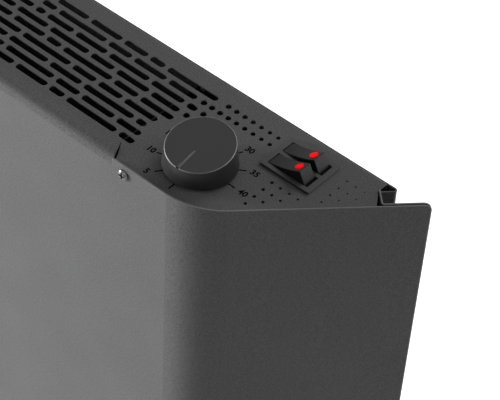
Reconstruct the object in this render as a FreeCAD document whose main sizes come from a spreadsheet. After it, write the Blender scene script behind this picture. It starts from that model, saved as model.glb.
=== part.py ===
# Wall-hung electric convector heater with a slotted top deck, a thermostat knob and a twin switch.
# Frame: origin in the middle of the wall bracket's screw pattern, on the wall.
# +X runs to the right seen from the room, +Y into the wall, +Z up. Millimetres and degrees.
import FreeCAD, Part
import math
import os
from FreeCAD import Placement, Rotation, Vector

SIZES = {
    # casing: one bent sheet
    "front_width": 613.2,
    "body_height": 400.0,
    "body_depth": 75.8,
    "wall_gap": 18.0,
    "sheet_thick": 0.8,
    "fit_gap": 0.3,
    "flare_angle": 46.0,
    "flare_radius": 38.5,
    "flare_past": 2.2,
    "hem_gap": 0.7,
    "lip_setback": 22.2,
    "lip_reach": 11.0,
    "lip_bend": 0.8,
    "edge_rise": 1.0,
    "hem_round": 4.2,
    "roll_radius": 4.5,
    "roll_reach": 10.5,
    "roll_flat": 1.2,
    "roll_ease": 16.0,
    "notch_inset": 49.4,
    "notch_width": 1.3,
    "notch_slant": 5.0,
    "notch_depth": 0.4,
    "notch_tip": 0.4,
    "rear_bend": 1.1,
    "rear_flange": 12.0,
    "foot_bend": 3.0,
    "foot_flange": 14.0,
    "foot_inset": 36.0,
    # deck: outlet slots and fading holes
    "deck_overhang": 50.1,
    "deck_end_square": 6.3,
    "deck_end_slant": 8.9,
    "row_pitch": 6.0,
    "row_margin": 11.8,
    "slot_width": 3.8,
    "slot_bridge": 2.3,
    "slot_dash": 5.8,
    "slot_short": 9.0,
    "slot_medium": 14.8,
    "slot_middle": 17.3,
    "slot_long": 20.3,
    "slot_longer": 25.5,
    "slot_longest": 31.7,
    "fade_inset": 45.15,
    "fade_pitch": 5.08,
    "fade_hole": 3.4,
    "fade_step": 0.15,
    # back panel and bottom grille
    "back_drop": 1.0,
    "back_bend": 1.5,
    "back_inset": 11.1,
    "vent_length": 34.0,
    "vent_width": 4.0,
    "vent_pitch": 42.0,
    "vent_row_pitch": 8.0,
    "back_vent_low": 28.0,
    "grille_flange": 12.0,
    # fasteners
    "screw_head": 5.8,
    "screw_head_height": 1.5,
    "screw_shank": 3.0,
    "screw_length": 8.0,
    "screw_play": 0.15,
    "front_screw_inset": 42.3,
    "front_screw_drop": 4.6,
    "angle_width": 11.0,
    "angle_depth": 13.0,
    "angle_drop": 14.0,
    "back_screw_spacing": 250.0,
    # wall bracket and spacers
    "bracket_thick": 1.5,
    "bracket_length": 320.0,
    "bracket_face": 44.0,
    "bracket_flange": 20.0,
    "bracket_bend": 2.5,
    "bolt_spacing": 260.0,
    "bolt_rise": 64.0,
    "bolt_hole": 5.5,
    "hook_spacing": 160.0,
    "hook_width": 14.0,
    "hook_lip": 9.0,
    "hook_gap": 0.6,
    "spacer_radius": 11.0,
    "spacer_spacing": 440.0,
    "spacer_height": 46.0,
    "spacer_peg": 5.0,
    "peg_past": 3.0,
    # heat shield, element bracket and reflector
    "shield_inset": 64.1,
    "shield_flange": 12.0,
    "shield_clear": 2.0,
    "bracket_inset": 14.0,
    "bracket_margin": 36.0,
    "reflector_gap": 11.0,
    "reflector_thick": 0.6,
    "reflector_lip": 8.0,
    # heating elements
    "element_height": 92.0,
    "element_spacing": 66.0,
    "element_core": 18.0,
    "element_clear": 14.0,
    "fin_reach": 27.0,
    "fin_thick": 2.0,
    "fin_length": 17.0,
    "fin_pitch": 20.0,
    "rod_thick": 8.0,
    "rod_play": 0.15,
    "rod_end": 12.0,
    "rod_stud": 4.0,
    "rod_stud_length": 12.0,
    "bush_body": 15.0,
    "bush_collar": 21.0,
    "bush_collar_length": 5.0,
    "bush_length": 11.0,
    "nut_across": 7.0,
    "nut_height": 3.2,
    # thermostat and knob
    "knob_inset": 18.6,
    "knob_setback": 25.3,
    "knob_base": 35.4,
    "knob_top": 32.7,
    "knob_height": 12.8,
    "knob_slope": 8.3,
    "knob_crown": 4.4,
    "knob_gap": 1.4,
    "knob_wall": 2.0,
    "knob_round": 0.5,
    "pointer_turn": 3.1,
    "pointer_start": 4.4,
    "pointer_width": 1.5,
    "pointer_depth": 0.6,
    "hub_thick": 11.0,
    "shaft_thick": 6.0,
    "shaft_play": 0.05,
    "shaft_flat": 2.0,
    "clip_thick": 0.6,
    "clip_width": 2.2,
    "thermostat_width": 34.0,
    "thermostat_depth": 30.0,
    "thermostat_height": 20.0,
    "stem_thick": 10.0,
    "stem_above": 4.6,
    "stem_nut_across": 14.0,
    "stem_nut_height": 2.4,
    "capillary_thick": 1.8,
    "bulb_thick": 6.4,
    "bulb_length": 84.0,
    "bulb_out": 9.0,
    "bulb_setback": 16.0,
    "bulb_rise": 20.0,
    "clip_tall": 5.0,
    # twin rocker switch
    "switch_out": 14.6,
    "switch_setback": 55.6,
    "bezel_length": 28.9,
    "bezel_width": 22.9,
    "bezel_height": 1.3,
    "bezel_round": 0.7,
    "housing_length": 25.4,
    "housing_width": 21.1,
    "housing_depth": 22.0,
    "housing_floor": 2.0,
    "window_length": 23.4,
    "window_width": 8.0,
    "window_bar": 2.1,
    "rocker_width": 7.4,
    "rocker_radius": 11.95,
    "rocker_tilt": 19.1,
    "rocker_sunk": 0.05,
    "rocker_draft": 8.2,
    "rocker_crest": 0.5,
    "rocker_edge": 0.25,
    "rocker_dish": 0.9,
    "rocker_waist": 1.8,
    "rocker_skirt": 4.5,
    "rocker_wall": 1.6,
    "pivot_drop": 3.8,
    "pivot_thick": 3.0,
    "pivot_play": 0.05,
    "pivot_reach": 0.8,
    "plunger_length": 8.5,
    "plunger_thick": 3.0,
    "lens_out": 6.2,
    "lens_width": 4.0,
    "lens_depth": 1.4,
    "lens_proud": 0.4,
    "lamp_thick": 3.0,
    "lamp_rise": 2.4,
    "lever_length": 16.0,
    "lever_width": 4.0,
    "lever_thick": 0.8,
    "lever_tilt": 5.73,
    "lever_gap": 0.5,
    "button_thick": 2.4,
    "button_height": 0.5,
    "tab_width": 6.3,
    "tab_thick": 0.8,
    "tab_below": 10.0,
    # thermal cut-out, terminal block, earth stud and cable gland
    "cutout_thick": 16.0,
    "cutout_height": 9.0,
    "cutout_rise": 44.0,
    "cutout_margin": 4.0,
    "block_out": 6.0,
    "block_height": 96.0,
    "block_length": 36.0,
    "block_depth": 14.0,
    "block_tall": 22.0,
    "pole_pitch": 11.0,
    "pole_hole": 5.2,
    "earth_out": 30.0,
    "earth_height": 60.0,
    "earth_stud": 4.0,
    "earth_length": 15.0,
    "gland_height": 48.0,
    "gland_thick": 16.0,
    "gland_flange": 22.0,
    "gland_bore": 7.4,
    "gland_inside": 20.0,
    "gland_outside": 12.0,
    "gland_nut_across": 22.0,
    "gland_nut_height": 5.0,
    # wires, their clips, the shield grommet and the neutral strap
    "wire_thick": 2.4,
    "wire_bend": 4.0,
    "wire_step": 20.0,
    "wire_clip_size": 8.0,
    "wire_clip_out": 7.2,
    "wire_clip_spacing": 180.0,
    "grommet_neck": 6.0,
    "grommet_flange": 9.0,
    "grommet_lip": 1.6,
    "strap_width": 10.0,
}

doc = FreeCAD.newDocument("convector_heater")
table = doc.addObject("Spreadsheet::Sheet", "Sizes")
for row, (alias, value) in enumerate(SIZES.items(), start=1):
    table.set(f"A{row}", alias)
    table.set(f"B{row}", str(value))
    table.setAlias(f"B{row}", alias)
doc.recompute()


class Dimensions:
    """The sheet's values under their aliases."""


d = Dimensions()
for alias in SIZES:
    setattr(d, alias, float(table.get(alias)))

nodes = []


# Outlines

def rounded(points, radii, closed=True):
    """Straight runs through the points, with each corner rounded by its own radius."""
    count = len(points)
    corners = []
    for index, corner in enumerate(points):
        if radii[index] == 0:
            corners.append((corner, None, corner))
            continue
        back = (points[index - 1] - corner).normalize()
        ahead = (points[(index + 1) % count] - corner).normalize()
        half = back.getAngle(ahead) / 2
        reach = radii[index] / math.tan(half)
        bisector = (back + ahead).normalize()
        middle = corner + bisector * (radii[index] / math.sin(half) - radii[index])
        corners.append((corner + back * reach, middle, corner + ahead * reach))
    curves = []
    for index, (arrive, middle, leave) in enumerate(corners):
        if middle is not None:
            curves.append(Part.Arc(arrive, middle, leave))
        if not closed and index == count - 1:
            break
        following = corners[(index + 1) % count][0]
        if (following - leave).Length > 1e-6:
            curves.append(Part.LineSegment(leave, following))
    return curves


def strip(path, radii, thickness):
    """Outline of a bent sheet whose one face follows the path.

    The sheet lies to the left of the path, or to the right where the thickness is negative.
    The radii are those of the path's own corners.
    """
    normals = []
    for start, end in zip(path, path[1:]):
        run = (end - start).normalize()
        normals.append(Vector(-run.y, run.x, 0))
    far = [path[0] + normals[0] * thickness]
    far_radii = [0]
    for index in range(1, len(path) - 1):
        before, after = normals[index - 1], normals[index]
        far.append(path[index] + (before + after) * (thickness / (1 + before.dot(after))))
        turn = before.cross(after).z
        far_radii.append(max(radii[index] - math.copysign(thickness, turn * thickness), 0))
    far.append(path[-1] + normals[-1] * thickness)
    far_radii.append(0)
    curves = rounded(path, radii, closed=False)
    curves.append(Part.LineSegment(path[-1], far[-1]))
    curves += rounded(far[::-1], far_radii[::-1], closed=False)
    curves.append(Part.LineSegment(far[0], path[0]))
    return curves


def rectangle(x0, y0, x1, y1, radius=0):
    corners = [Vector(x0, y0), Vector(x1, y0), Vector(x1, y1), Vector(x0, y1)]
    return rounded(corners, [radius] * 4)


def circle(x, y, diameter):
    return [Part.Circle(Vector(x, y), Vector(0, 0, 1), diameter / 2)]


def slot(x0, x1, y, width):
    """A slot along the first axis with round ends at x0 and x1."""
    half = width / 2
    low, high = Vector(0, y - half), Vector(0, y + half)
    left, right = Vector(x0 + half, 0), Vector(x1 - half, 0)
    return [
        Part.LineSegment(left + low, right + low),
        Part.Arc(right + low, Vector(x1, y), right + high),
        Part.LineSegment(right + high, left + high),
        Part.Arc(left + high, Vector(x0, y), left + low),
    ]


def hexagon(x, y, across):
    radius = across / math.sqrt(3)
    turns = [math.radians(60 * step) for step in range(6)]
    corners = [Vector(x + radius * math.cos(turn), y + radius * math.sin(turn)) for turn in turns]
    return rounded(corners, [0] * 6)


def mirrored(points):
    """The points of a right half, followed by their mirror images in reverse order."""
    return points + [Vector(-point.x, point.y) for point in reversed(points)]


# Bodies and features

LEVEL_SIGN = {"XY_Plane": 1, "XZ_Plane": -1, "YZ_Plane": 1}
TOUCHING = 0.01


def new_body(label, export=True):
    body = doc.addObject("PartDesign::Body", label)
    body.Label = label
    if export:
        nodes.append(body)
    return body


def sketch_on(body, plane, level, curves, offset=None):
    """A sketch on one of the body's origin planes, moved along its axis to a level, or by an offset."""
    sketch = body.newObject("Sketcher::SketchObject", "Sketch")
    support = next(feature for feature in body.Origin.OriginFeatures if feature.Role == plane)
    sketch.AttachmentSupport = [(support, "")]
    sketch.MapMode = "FlatFace"
    sketch.AttachmentOffset = offset or Placement(Vector(0, 0, level * LEVEL_SIGN[plane]), Rotation())
    sketch.addGeometry(curves, False)
    return sketch


def pad(body, plane, level, curves, length, symmetric=False, offset=None):
    """Material from the level along +Z, -Y or +X, or to both sides of it."""
    feature = body.newObject("PartDesign::Pad", "Pad")
    feature.Profile = sketch_on(body, plane, level, curves, offset)
    feature.setExpression("Length", length)
    if symmetric:
        feature.SideType = "Symmetric"
    return feature


def soften(body, places, radius):
    """Rounds the edges that pass through the places."""
    doc.recompute()
    base = body.Tip
    names = []
    for number, edge in enumerate(base.Shape.Edges, 1):
        if any(edge.distToShape(Part.Vertex(place))[0] < TOUCHING for place in places):
            names.append(f"Edge{number}")
    feature = body.newObject("PartDesign::Fillet", "Fillet")
    feature.Base = (base, names)
    feature.setExpression("Radius", radius)
    return feature


def pocket(body, plane, level, curves, length, symmetric=False, offset=None):
    """A cut from the level along -Z, +Y or -X, or to both sides of it, which has to remove something."""
    doc.recompute()
    before = body.Shape.Volume
    feature = body.newObject("PartDesign::Pocket", "Pocket")
    feature.Profile = sketch_on(body, plane, level, curves, offset)
    feature.setExpression("Length", length)
    if symmetric:
        feature.SideType = "Symmetric"
    doc.recompute()
    if body.Shape.Volume >= before:
        raise ValueError(f"a cut in {body.Label} removes nothing")
    return feature


def revolve(body, profile):
    """A full turn about the body's Z axis of a profile given as radius and height."""
    feature = body.newObject("PartDesign::Revolution", "Revolution")
    sketch = sketch_on(body, "XZ_Plane", 0, profile)
    feature.Profile = sketch
    feature.ReferenceAxis = (sketch, ["V_Axis"])
    feature.Angle = 360
    return feature


def turned(points, radii=None):
    """A closed profile of radius and height points for a full turn."""
    corners = [Vector(radius, height) for radius, height in points]
    return rounded(corners, radii or [0] * len(corners))


def group(label, master, placements):
    """Separate solids of one node: copies of a master body at the given placements."""
    doc.recompute()
    copies = []
    for placement in placements:
        copy = master.Shape.copy()
        copy.Placement = placement.multiply(copy.Placement)
        copies.append(copy)
    feature = doc.addObject("Part::Feature", label)
    feature.Label = label
    feature.Shape = Part.makeCompound(copies)
    nodes.append(feature)
    return feature


TOWARDS_ROOM = Rotation(Vector(1, 0, 0), 90)
TOWARDS_WALL = Rotation(Vector(1, 0, 0), -90)
ALONG_X = Rotation(Vector(0, 1, 0), 90)
UPRIGHT = Rotation()
UPSIDE_DOWN = Rotation(Vector(1, 0, 0), 180)


def at(x, y, z, rotation=UPRIGHT):
    return Placement(Vector(x, y, z), rotation)


# Places that several pieces share

front_y = -(d.wall_gap + d.body_depth)
back_y = -d.wall_gap
back_in_y = back_y - d.sheet_thick
front_in_y = front_y + d.sheet_thick
top_z = d.body_height / 2
bottom_z = -top_z
under_deck_z = top_z - d.sheet_thick
corner_x = d.front_width / 2
deck_rear_y = back_in_y - d.fit_gap
deck_end_x = corner_x + d.deck_overhang
flare = math.radians(d.flare_angle)
along = Vector(math.cos(flare), math.sin(flare))
inward = Vector(-math.sin(flare), math.cos(flare))
hem_radius = d.sheet_thick + d.hem_gap / 2
hem_y = back_y + d.flare_past - hem_radius * (1 + math.cos(flare) - math.sin(flare))
corner = Vector(corner_x, front_y)
hem_outer = corner + along * ((hem_y - front_y) / math.sin(flare))
hem_inner = hem_outer + inward * (2 * hem_radius)
lip_root = hem_inner - along * d.lip_setback
lip_tip = lip_root + inward * (d.lip_reach - 2 * hem_radius)
notch_x = corner_x - d.notch_inset
front_screw_x = corner_x - d.front_screw_inset
front_screw_z = top_z - d.front_screw_drop
knob_x = corner_x - d.knob_inset
knob_y = front_y + d.knob_setback
switch_x = corner_x + d.switch_out
switch_y = front_y + d.switch_setback
shield_x = corner_x - d.shield_inset
element_y = (front_in_y + back_in_y) / 2
element_zs = [bottom_z + d.element_height, bottom_z + d.element_height + d.element_spacing]
grille_z = bottom_z + d.sheet_thick
top_screw_z = top_z - d.rear_flange / 2 - d.rear_bend / 2
low_screw_z = grille_z + d.grille_flange / 2 + d.rear_bend / 2
screw_hole = d.screw_shank + 2 * d.screw_play
back_screw_xs = [-d.back_screw_spacing, 0, d.back_screw_spacing]


def plan_half(front_inset, rear_y, end_x):
    """Right half of a plate that fills the casing's plan, from the front bend to the rear edge."""
    before, after = Vector(0, 1), inward
    bend = corner + (before + after) * (front_inset / (1 + before.dot(after)))
    slant_y = deck_rear_y - d.deck_end_square - d.deck_end_slant
    slant = bend + along * ((slant_y - bend.y) / math.sin(flare))
    points = [bend, slant, Vector(end_x, deck_rear_y - d.deck_end_square), Vector(end_x, rear_y)]
    return points, [d.flare_radius - front_inset, 0, 0, 0]


# Casing

def casing_wall():
    """Plan of the front panel, the flared ends, their hems and the lips inside them."""
    right = [corner, hem_outer, hem_inner, lip_root, lip_tip]
    radii = [d.flare_radius, hem_radius, hem_radius, d.lip_bend, 0]
    path = [Vector(-point.x, point.y) for point in reversed(right)] + right
    return strip(path, radii[::-1] + radii, d.sheet_thick)


SLOT_SIZES = {
    "a": d.slot_dash,
    "b": d.slot_short,
    "c": d.slot_medium,
    "d": d.slot_middle,
    "e": d.slot_long,
    "f": d.slot_longer,
    "g": d.slot_longest,
}
# Each row of outlet slots, from its end at the controls inwards: how far its first slot reaches
# past the first fading hole, and the slots in their order, which then begins again.
SLOT_ROWS = [
    (3.3, "gbcee"),
    (-4.6, "decgb"),
    (0.9, "aefed"),
    (-4.7, "decfe"),
    (-3.0, "ecgbe"),
    (-7.5, "eccge"),
    (-8.8, "agefc"),
    (-6.5, "cecge"),
    (-5.0, "bgbeg"),
]
fade_x = corner_x - d.fade_inset
last_column = 18


def row_y(row):
    return deck_rear_y - d.row_margin - row * d.row_pitch


def deck_slots():
    """Rows of slots from both ends to a bridge in the middle."""
    curves = []
    for row, (reach, order) in enumerate(SLOT_ROWS):
        end = fade_x + reach
        index = 0
        while end > d.slot_bridge / 2 + d.slot_dash:
            length = SLOT_SIZES[order[index % len(order)]]
            start = max(end - length, d.slot_bridge / 2)
            if start < d.slot_bridge / 2 + d.slot_dash + d.slot_bridge:
                start = d.slot_bridge / 2
            curves += slot(start, end, row_y(row), d.slot_width)
            curves += slot(-end, -start, row_y(row), d.slot_width)
            end = start - d.slot_bridge
            index += 1
    return curves


def fade_holes():
    """Round holes that shrink towards the ends: round the controls, and all over the other end."""
    def hole(side, column, row):
        diameter = d.fade_hole - d.fade_step * column
        return circle(side * (fade_x + column * d.fade_pitch), row_y(row), diameter)

    curves = []
    for column in range(2, 9):
        curves += hole(1, column, 0)
    for column in range(0, 9):
        curves += hole(1, column, 1)
    curves += hole(1, 1, 2)
    curves += hole(1, 0, 3)
    for step in range(4):
        for row in range(4, 8 - step):
            curves += hole(1, 11.3 + step, row)
    for column in range(16, last_column + 1):
        for row in range(0, 20 - column):
            curves += hole(1, column, row)
    for row, (reach, order) in enumerate(SLOT_ROWS):
        first = math.ceil((reach + d.slot_bridge + d.fade_hole / 2) / d.fade_pitch)
        for column in range(max(first, 0), last_column + 1 - row):
            curves += hole(-1, column, row)
    return curves


def deck_outline():
    inner_y = front_in_y + d.fit_gap
    tangent_y = front_y + d.roll_reach
    notch_y = tangent_y + d.notch_depth
    slope = d.notch_slant / (tangent_y - front_in_y)
    left_x = notch_x - d.notch_slant
    tip_x = left_x - slope * d.notch_depth
    notch = [
        Vector(left_x, tangent_y),
        Vector(tip_x, notch_y),
        Vector(tip_x + d.notch_tip, notch_y),
        Vector(notch_x + d.notch_width, inner_y),
    ]
    points, radii = plan_half(d.sheet_thick + d.fit_gap, deck_rear_y - d.rear_bend, deck_end_x)
    right = notch + points
    tip = d.notch_tip * 0.4
    right_radii = [0, tip, tip, 0] + radii
    return rounded(mirrored(right), right_radii + right_radii[::-1])


def make_casing():
    body = new_body("casing")
    pad(body, "XY_Plane", bottom_z, casing_wall(), "Sizes.body_height + Sizes.edge_rise")
    foot_x = corner_x - d.foot_inset
    reliefs = rectangle(-notch_x, top_z - d.roll_radius, notch_x, top_z + 2 * d.edge_rise)
    reliefs += rectangle(-foot_x, bottom_z - d.edge_rise, foot_x, bottom_z + d.foot_bend)
    for side in (-1, 1):
        reliefs += circle(side * front_screw_x, front_screw_z, screw_hole)
    pocket(body, "XZ_Plane", front_y, reliefs, "2 * Sizes.sheet_thick")

    tangent_y = front_y + d.roll_reach
    roll = [
        Vector(front_y, top_z - d.roll_radius),
        Vector(front_y, top_z + d.edge_rise),
        Vector(tangent_y - d.roll_flat, top_z),
        Vector(tangent_y, top_z),
    ]
    pad(body, "YZ_Plane", 0, strip(roll, [0, d.roll_radius, d.roll_ease, 0], -d.sheet_thick),
        "Sizes.front_width - 2 * Sizes.notch_inset", symmetric=True)
    cuts = []
    for side in (-1, 1):
        trim = [
            Vector(side * (notch_x - d.notch_slant), tangent_y),
            Vector(side * notch_x, front_in_y),
            Vector(side * notch_x, tangent_y),
        ]
        cuts += rounded(trim, [0] * 3)
    pocket(body, "XY_Plane", top_z + d.edge_rise, cuts,
           "Sizes.edge_rise + Sizes.roll_radius + Sizes.notch_depth")

    rear = [Vector(deck_rear_y - d.rear_bend, top_z), Vector(deck_rear_y, top_z)]
    rear.append(Vector(deck_rear_y, top_z - d.rear_flange))
    pad(body, "YZ_Plane", 0, strip(rear, [0, d.rear_bend, 0], -d.sheet_thick),
        "Sizes.front_width + 2 * Sizes.deck_overhang", symmetric=True)
    foot = [Vector(front_y, bottom_z + d.foot_bend), Vector(front_y, bottom_z)]
    foot.append(Vector(front_y + d.foot_flange, bottom_z))
    pad(body, "YZ_Plane", 0, strip(foot, [0, d.foot_bend, 0], d.sheet_thick),
        "Sizes.front_width - 2 * Sizes.foot_inset", symmetric=True)

    foot_holes = []
    rear_holes = []
    for x in back_screw_xs:
        foot_holes += circle(x, front_y + d.foot_flange / 2, screw_hole)
        rear_holes += circle(x, top_screw_z, screw_hole)
    pocket(body, "XY_Plane", grille_z, foot_holes, "2 * Sizes.sheet_thick")
    pocket(body, "XZ_Plane", deck_rear_y - d.sheet_thick, rear_holes, "2 * Sizes.sheet_thick")

    round_hem_corners(body)
    deck = deck_outline() + deck_slots() + fade_holes()
    deck += circle(knob_x, knob_y, d.stem_thick + 2 * d.fit_gap)
    half_long = d.housing_length / 2 + d.fit_gap
    half_wide = d.housing_width / 2 + d.fit_gap
    deck += rectangle(switch_x - half_long, switch_y - half_wide, switch_x + half_long, switch_y + half_wide)
    pad(body, "XY_Plane", under_deck_z, deck, "Sizes.sheet_thick")
    return body


def round_hem_corners(body):
    """The hemmed rear edges of the end panels, rounded off at the top and at the bottom."""
    for side in (-1, 1):
        curves = []
        for edge_z, inside in ((top_z + d.edge_rise, -1), (bottom_z, 1)):
            end = (hem_outer - corner).Length
            tangent = Vector(end - d.hem_round, edge_z)
            low = Vector(end, edge_z + inside * d.hem_round)
            centre = Vector(end - d.hem_round, edge_z + inside * d.hem_round)
            middle = centre + Vector(1, -inside).normalize() * d.hem_round
            past = Vector(end + d.hem_round, edge_z - inside * d.hem_round)
            curves += [
                Part.Arc(tangent, middle, low),
                Part.LineSegment(low, Vector(past.x, low.y)),
                Part.LineSegment(Vector(past.x, low.y), past),
                Part.LineSegment(past, Vector(tangent.x, past.y)),
                Part.LineSegment(Vector(tangent.x, past.y), tangent),
            ]
        if side < 0:
            mirror = FreeCAD.Matrix(-1, 0, 0, 0, 0, 1, 0, 0, 0, 0, 1, 0, 0, 0, 0, 1)
            for curve in curves:
                curve.transform(mirror)
        turn = Rotation(Vector(0, 1, 0), side * d.flare_angle)
        on_flare = Placement(Vector(side * corner_x, 0, -front_y), turn)
        pocket(body, "XZ_Plane", 0, curves, "4 * Sizes.sheet_thick + 2 * Sizes.hem_gap + Sizes.fit_gap",
               symmetric=True, offset=on_flare)


make_casing()


# Back panel

hook_z = 0.0
gland_x = corner_x + d.block_out
gland_z = bottom_z + d.gland_height
spacer_z = bottom_z + d.spacer_height
bracket_x = -(corner_x - d.bracket_inset)
bracket_low_z = element_zs[0] - d.bracket_margin
bracket_high_z = element_zs[1] + d.bracket_margin
shield_low_z = grille_z + d.sheet_thick + d.grille_flange + d.fit_gap
shield_high_z = top_z - d.rear_flange - d.fit_gap
frame_screws = [
    (shield_x + d.sheet_thick + d.shield_flange / 2, bracket_low_z + d.screw_head),
    (shield_x + d.sheet_thick + d.shield_flange / 2, bracket_high_z - d.screw_head),
    (bracket_x - d.sheet_thick - d.shield_flange / 2, bracket_low_z + d.screw_head),
    (bracket_x - d.sheet_thick - d.shield_flange / 2, bracket_high_z - d.screw_head),
]


def vent_rows(count, row_count, first_row, row_step):
    """A block of straight air slots, centred between the ends."""
    curves = []
    for row in range(row_count):
        for column in range(count):
            middle = (column - (count - 1) / 2) * d.vent_pitch
            level = first_row + row * row_step
            curves += slot(middle - d.vent_length / 2, middle + d.vent_length / 2, level, d.vent_width)
    return curves


def make_back_panel():
    body = new_body("back_panel")
    rear_corner = Vector(corner_x + d.body_depth / math.tan(flare) - d.back_inset / math.sin(flare), back_y)
    run = (rear_corner - lip_root).dot(along) - d.fit_gap
    tip = rear_corner - along * run
    path = [Vector(-tip.x, tip.y), Vector(-rear_corner.x, rear_corner.y), rear_corner, tip]
    pad(body, "XY_Plane", bottom_z + d.back_drop, strip(path, [0, d.back_bend, d.back_bend, 0], -d.sheet_thick),
        "Sizes.body_height - 2 * Sizes.back_drop")
    holes = vent_rows(9, 3, bottom_z + d.back_vent_low, d.vent_row_pitch)
    for side in (-1, 1):
        middle = side * d.hook_spacing / 2
        half = d.hook_width / 2 + d.hook_gap
        low = hook_z - d.hook_lip - 2 * d.bracket_thick
        holes += rectangle(middle - half, low, middle + half, hook_z)
        holes += circle(side * d.spacer_spacing / 2, spacer_z, d.spacer_peg + 2 * d.fit_gap)
    for x in back_screw_xs:
        holes += circle(x, top_screw_z, screw_hole)
        holes += circle(x, low_screw_z, screw_hole)
    for x, z in frame_screws:
        holes += circle(x, z, screw_hole)
    holes += circle(gland_x, gland_z, d.gland_thick + 2 * d.fit_gap)
    holes += circle(corner_x + d.earth_out, bottom_z + d.earth_height, d.earth_stud + 2 * d.fit_gap)
    pocket(body, "XZ_Plane", back_in_y, holes, "2 * Sizes.sheet_thick")


make_back_panel()


# Bottom grille

def make_bottom_grille():
    body = new_body("bottom_grille")
    inset = d.foot_bend + d.fit_gap
    points, radii = plan_half(inset, deck_rear_y - d.rear_bend, deck_end_x)
    plate = rounded(mirrored(points), radii + radii[::-1])
    rows = 6
    middle_y = (front_y + d.foot_flange + deck_rear_y) / 2
    plate += vent_rows(13, rows, middle_y - d.vent_row_pitch * (rows - 1) / 2, d.vent_row_pitch)
    for x in back_screw_xs:
        plate += circle(x, front_y + d.foot_flange / 2, screw_hole)
    pad(body, "XY_Plane", grille_z, plate, "Sizes.sheet_thick")
    rear = [Vector(deck_rear_y - d.rear_bend, grille_z), Vector(deck_rear_y, grille_z)]
    rear.append(Vector(deck_rear_y, grille_z + d.grille_flange))
    pad(body, "YZ_Plane", 0, strip(rear, [0, d.rear_bend, 0], d.sheet_thick),
        "Sizes.front_width + 2 * Sizes.deck_overhang", symmetric=True)
    holes = []
    for x in back_screw_xs:
        holes += circle(x, low_screw_z, screw_hole)
    pocket(body, "XZ_Plane", deck_rear_y - d.sheet_thick, holes, "2 * Sizes.sheet_thick")


make_bottom_grille()


# Fasteners of the casing

def make_screw_master():
    """A pan-head screw with a cross recess: its head stands on the XY plane, its shank points down."""
    body = new_body("screw_master", export=False)
    head, high, shank = d.screw_head / 2, d.screw_head_height, d.screw_shank / 2
    profile = [(0, -d.screw_length), (shank * 0.6, -d.screw_length), (shank, -d.screw_length + shank)]
    profile += [(shank, 0), (head, 0), (head, high * 0.45), (head * 0.62, high), (0, high)]
    revolve(body, turned(profile, [0, 0, 0, 0, 0, head * 0.35, head * 0.3, 0]))
    arm, thin = head * 0.62, head * 0.16
    cross = [(thin, thin), (thin, arm), (-thin, arm), (-thin, thin), (-arm, thin), (-arm, -thin),
             (-thin, -thin), (-thin, -arm), (thin, -arm), (thin, -thin), (arm, -thin), (arm, thin)]
    corners = [Vector(x, y) for x, y in cross]
    pocket(body, "XY_Plane", high, rounded(corners, [0] * len(corners)), "Sizes.screw_head_height * 0.7")
    return body


def make_corner_brackets():
    """Angles under the deck, behind the front edge, that take the front screws."""
    body = new_body("corner_brackets")
    path = [Vector(front_in_y, under_deck_z - d.angle_drop), Vector(front_in_y, under_deck_z)]
    path.append(Vector(front_in_y + d.angle_depth, under_deck_z))
    profile = strip(path, [0, 2 * d.sheet_thick, 0], -d.sheet_thick)
    near_x = notch_x + d.notch_width + d.fit_gap
    pad(body, "YZ_Plane", near_x, profile, "Sizes.angle_width")
    pad(body, "YZ_Plane", -near_x - d.angle_width, profile, "Sizes.angle_width")
    holes = []
    for side in (-1, 1):
        holes += circle(side * front_screw_x, front_screw_z, screw_hole)
    pocket(body, "XZ_Plane", front_in_y, holes, "2 * Sizes.sheet_thick")


make_corner_brackets()
screw = make_screw_master()
group("front_screws", screw,
      [at(side * front_screw_x, front_y, front_screw_z, TOWARDS_ROOM) for side in (-1, 1)])
group("back_screws", screw,
      [at(x, back_y, z, TOWARDS_WALL) for x in back_screw_xs for z in (top_screw_z, low_screw_z)])
group("grille_screws", screw,
      [at(x, front_y + d.foot_flange / 2, bottom_z, UPSIDE_DOWN) for x in back_screw_xs])
group("frame_screws", screw, [at(x, back_y, z, TOWARDS_WALL) for x, z in frame_screws])


# Wall bracket and spacers

def make_wall_bracket():
    """A hat-shaped rail on the wall, with two hooks that pass through the back panel."""
    body = new_body("wall_bracket")
    face = d.bracket_face / 2
    depth = d.wall_gap - d.bracket_thick
    path = [
        Vector(0, face + d.bracket_flange),
        Vector(0, face),
        Vector(-depth, face),
        Vector(-depth, -face),
        Vector(0, -face),
        Vector(0, -face - d.bracket_flange),
    ]
    bend = d.bracket_bend
    pad(body, "YZ_Plane", 0, strip(path, [0, bend, bend, bend, bend, 0], -d.bracket_thick),
        "Sizes.bracket_length", symmetric=True)
    hook_y = back_in_y - d.hook_gap
    hook = [Vector(back_y, hook_z), Vector(hook_y, hook_z), Vector(hook_y, hook_z + d.hook_lip)]
    for side in (-1, 1):
        pad(body, "YZ_Plane", side * d.hook_spacing / 2 - d.hook_width / 2,
            strip(hook, [0, d.hook_gap / 2, 0], d.bracket_thick), "Sizes.hook_width")
    holes = []
    for x in (-d.bolt_spacing / 2, d.bolt_spacing / 2):
        for z in (-d.bolt_rise / 2, d.bolt_rise / 2):
            holes += circle(x, z, d.bolt_hole)
    pocket(body, "XZ_Plane", -d.bracket_thick, holes, "2 * Sizes.bracket_thick")


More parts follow.
